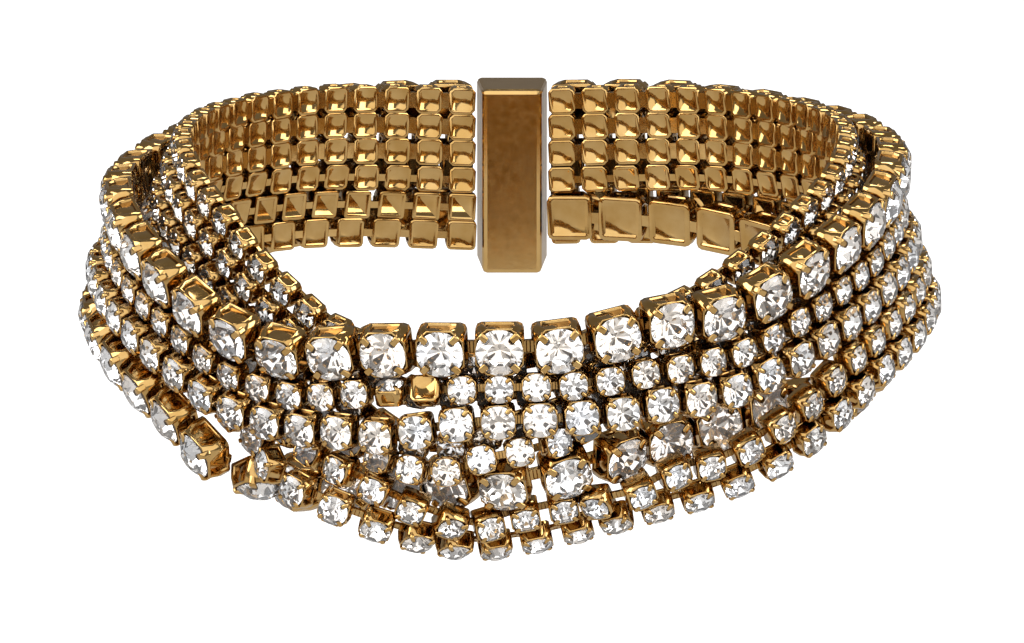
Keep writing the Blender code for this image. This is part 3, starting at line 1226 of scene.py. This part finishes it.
@dataclass
class CupChain:
    """One chain of cups and stones that takes the place of a chain of the model.

    Each cup rocks a little, by up to sway degrees, and twists says by how many degrees the cup nearest a turn is
    twisted round the chain.
    """

    node: str
    size: CupSize
    layer: Layer = Layer.OUTER
    sway: float = 2.5
    sway_step: float = 2.4
    sway_start: float = 0.7
    twists: dict[float, float] = field(default_factory=dict)

    def places(self) -> tuple[list[Matrix], list[Matrix]]:
        """Find the places along the chain's way.

        Returns:
            The matrices of the cups and of the straps between them.
        """
        route = Route(ROUTES[self.node])
        turns = route.even_turns(self.size.width / 2, self.size.pitch)
        twisted = {min(turns, key=lambda t: abs(t - at)): angle for at, angle in self.twists.items()}
        cups = []
        for i, turn in enumerate(turns):
            rock = radians(self.sway * sin(self.sway_step * i + self.sway_start))
            place = route.frame(turn) @ Matrix.Rotation(rock, 4, "X")
            if turn in twisted:
                heart = Matrix.Translation((0, 0, self.size.depth / 2))
                place = place @ heart @ Matrix.Rotation(radians(twisted[turn]), 4, "X") @ heart.inverted()
            cups.append(place)
        straps = [route.frame((a + b) / 2) for a, b in zip(turns, turns[1:])]
        return cups, straps

    def build(self, patterns: Patterns, wardrobe: Wardrobe) -> list[bpy.types.Object]:
        """Lay the cups, straps and stones along the chain's way.

        Args:
            patterns: The modelled cups, straps and stones.
            wardrobe: The finishes.

        Returns:
            The metal piece and the piece of stones.
        """
        cup, strap, stone = patterns.of(self.size)
        cups, straps = self.places()
        metal, stones = bmesh.new(), bmesh.new()
        add_copies(metal, cup, cups)
        add_copies(metal, strap, straps)
        add_copies(stones, stone, cups)
        LOG.info("%s: %d cups", self.node, len(cups))
        pieces = [
            finish_piece(self.node + "_metal", metal, [wardrobe.metals["gold"]]),
            finish_piece(self.node + "_stones", stones, wardrobe.stones[self.layer]),
        ]
        for piece, slot in zip(pieces, ("gold", "cut_glass")):
            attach(piece, "root")
            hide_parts(self.node)
        return pieces


@dataclass
class Clasp:
    """The block at the nape."""

    node: str = "clasp"

    def dress(self, wardrobe: Wardrobe) -> None:
        """Give the model's own block its finish.

        Args:
            wardrobe: The finishes.
        """
        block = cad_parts[self.node]
        for slot in block.material_slots:
            slot.material = wardrobe.metals["clasp_gold"]
        LOG.info("%s: dressed", self.node)


@dataclass
class Studio:
    """Camera, soft light and the plain pale floor. Lengths are in metres, the lens in millimetres."""

    elevation: float = 14.0
    distance: float = 1.2
    lens: float = 259.0
    sensor: float = 36
    drop: float = 0.01409
    floor_depth: float = -0.6
    floor_half: float = 15.0
    floor_tones: tuple[Color, Color] = ((0.6, 0.59, 0.58), (0.64, 0.63, 0.62))
    floor_glow: Color = (0.9, 0.9, 0.9)
    floor_roughness: float = 0.9
    floor_gloss: float = 0.1
    floor_drift: float = 0.8
    key_power: float = 1.5
    key_angle: float = 76
    key_elevation: float = 27
    key_turn: float = -6
    sky: float = 0.19
    sky_tint: Color = (1, 0.97, 0.94)
    panels: tuple[tuple[str, Point, tuple[float, float], float], ...] = (
        ("left_panel", (-3.2, -1.4, 1.9), (2.4, 2.8), 85),
        ("right_panel", (3.2, -1.4, 1.6), (2.2, 2.8), 75),
        ("top_panel", (0.3, 0.9, 3.6), (2.2, 0.9), 40),
    )

    def place_camera(self) -> None:
        """Put the camera at the photograph's angle."""
        tilt = radians(self.elevation)
        target = Vector((0, -self.drop * sin(tilt), -self.drop * cos(tilt)))
        back = Vector((0, -cos(tilt), sin(tilt)))
        data = bpy.data.cameras.new("camera")
        data.lens = self.lens
        data.sensor_width = self.sensor
        camera = bpy.data.objects.new("camera", data)
        camera.location = target + back * self.distance
        camera.rotation_mode = "QUATERNION"
        camera.rotation_quaternion = (-back).to_track_quat("-Z", "Y")
        bpy.context.scene.collection.objects.link(camera)
        bpy.context.scene.camera = camera

    def lay_floor(self) -> None:
        """Lay the floor well below the necklace, so that its shadow falls outside the picture."""
        clear_selection()
        bpy.ops.mesh.primitive_plane_add(size=2 * self.floor_half, location=(0, 0, self.floor_depth))
        floor = bpy.context.object
        floor.name = "floor"
        bpy.ops.object.transform_apply(location=True, rotation=True, scale=True)
        material, shader = new_material("pale_floor")
        nodes, links = material.node_tree.nodes, material.node_tree.links
        shader.inputs["Roughness"].default_value = self.floor_roughness
        shader.inputs["Specular IOR Level"].default_value = self.floor_gloss
        shader.inputs["Emission Strength"].default_value = 1
        drift = nodes.new("ShaderNodeTexNoise")
        drift.inputs["Scale"].default_value = self.floor_drift
        tone = nodes.new("ShaderNodeValToRGB")
        for stop, color in zip(tone.color_ramp.elements, self.floor_tones):
            stop.color = (*color, 1)
        links.new(drift.outputs["Fac"], tone.inputs["Fac"])
        links.new(tone.outputs["Color"], shader.inputs["Base Color"])
        ray = nodes.new("ShaderNodeLightPath")
        glow = nodes.new("ShaderNodeMix")
        glow.data_type = "RGBA"
        glow.inputs["A"].default_value = (0, 0, 0, 1)
        glow.inputs["B"].default_value = (*self.floor_glow, 1)
        links.new(ray.outputs["Is Camera Ray"], glow.inputs["Factor"])
        links.new(glow.outputs["Result"], shader.inputs["Emission Color"])
        floor.data.materials.append(material)

    def add_panel(self, name: str, place: Point, size: tuple[float, float], power: float) -> None:
        """A soft panel light aimed at the necklace.

        Args:
            name: The light's name.
            place: Where it stands, in metres.
            size: Its width and height in metres.
            power: Its power in watts.
        """
        data = bpy.data.lights.new(name, "AREA")
        data.shape = "RECTANGLE"
        data.size, data.size_y = size
        data.energy = power
        panel = bpy.data.objects.new(name, data)
        panel.location = place
        panel.rotation_mode = "QUATERNION"
        panel.rotation_quaternion = (-Vector(place)).to_track_quat("-Z", "Y")
        bpy.context.scene.collection.objects.link(panel)

    def light(self) -> None:
        """A wide soft key round the camera, two panels at the sides and a dim grey sky."""
        key_data = bpy.data.lights.new("key", "SUN")
        key_data.energy = self.key_power
        key_data.angle = radians(self.key_angle)
        key = bpy.data.objects.new("key", key_data)
        key.rotation_euler = (radians(90 - self.key_elevation), 0, radians(self.key_turn))
        bpy.context.scene.collection.objects.link(key)
        for name, place, size, power in self.panels:
            self.add_panel(name, place, size, power)
        world = bpy.data.worlds.new("studio")
        bpy.context.scene.world = world
        world.use_nodes = True
        sky = world.node_tree.nodes["Background"]
        sky.inputs["Color"].default_value = (*self.sky_tint, 1)
        sky.inputs["Strength"].default_value = self.sky
        bpy.context.scene.view_settings.view_transform = "Standard"


CHAINS = (
    CupChain("inner_chain_1", SMALL, Layer.INNER),
    CupChain("inner_chain_2", SMALL, Layer.INNER),
    CupChain("inner_chain_3", SMALL, Layer.INNER),
    CupChain("upper_large_chain", LARGE, sway=2.0),
    CupChain("upper_small_chain", CLOSE, twists={-18.8: -75.0, -13.2: 150.0}),
    CupChain("medium_chain", MEDIUM),
    CupChain("middle_small_chain", CLOSE, sway=4.0),
    CupChain("lower_large_chain", LARGE, sway=2.0),
    CupChain("boxy_chain", BOXY),
    CupChain("bottom_chain", LOWER),
)


def main() -> None:
    """Build the studio, the finishes and the pieces in order."""
    logging.basicConfig(level=logging.INFO, format="%(name)s %(message)s")
    studio = Studio()
    studio.place_camera()
    studio.lay_floor()
    studio.light()
    wardrobe = Wardrobe()
    wardrobe.fill()
    patterns = Patterns()
    for chain in CHAINS:
        for piece in chain.build(patterns, wardrobe):
            LOG.info("piece %s", piece.name)
    Clasp().dress(wardrobe)
    for meshes in patterns.made.values():
        for mesh in meshes:
            bpy.data.meshes.remove(mesh)


if __name__ == "__main__":
    main()
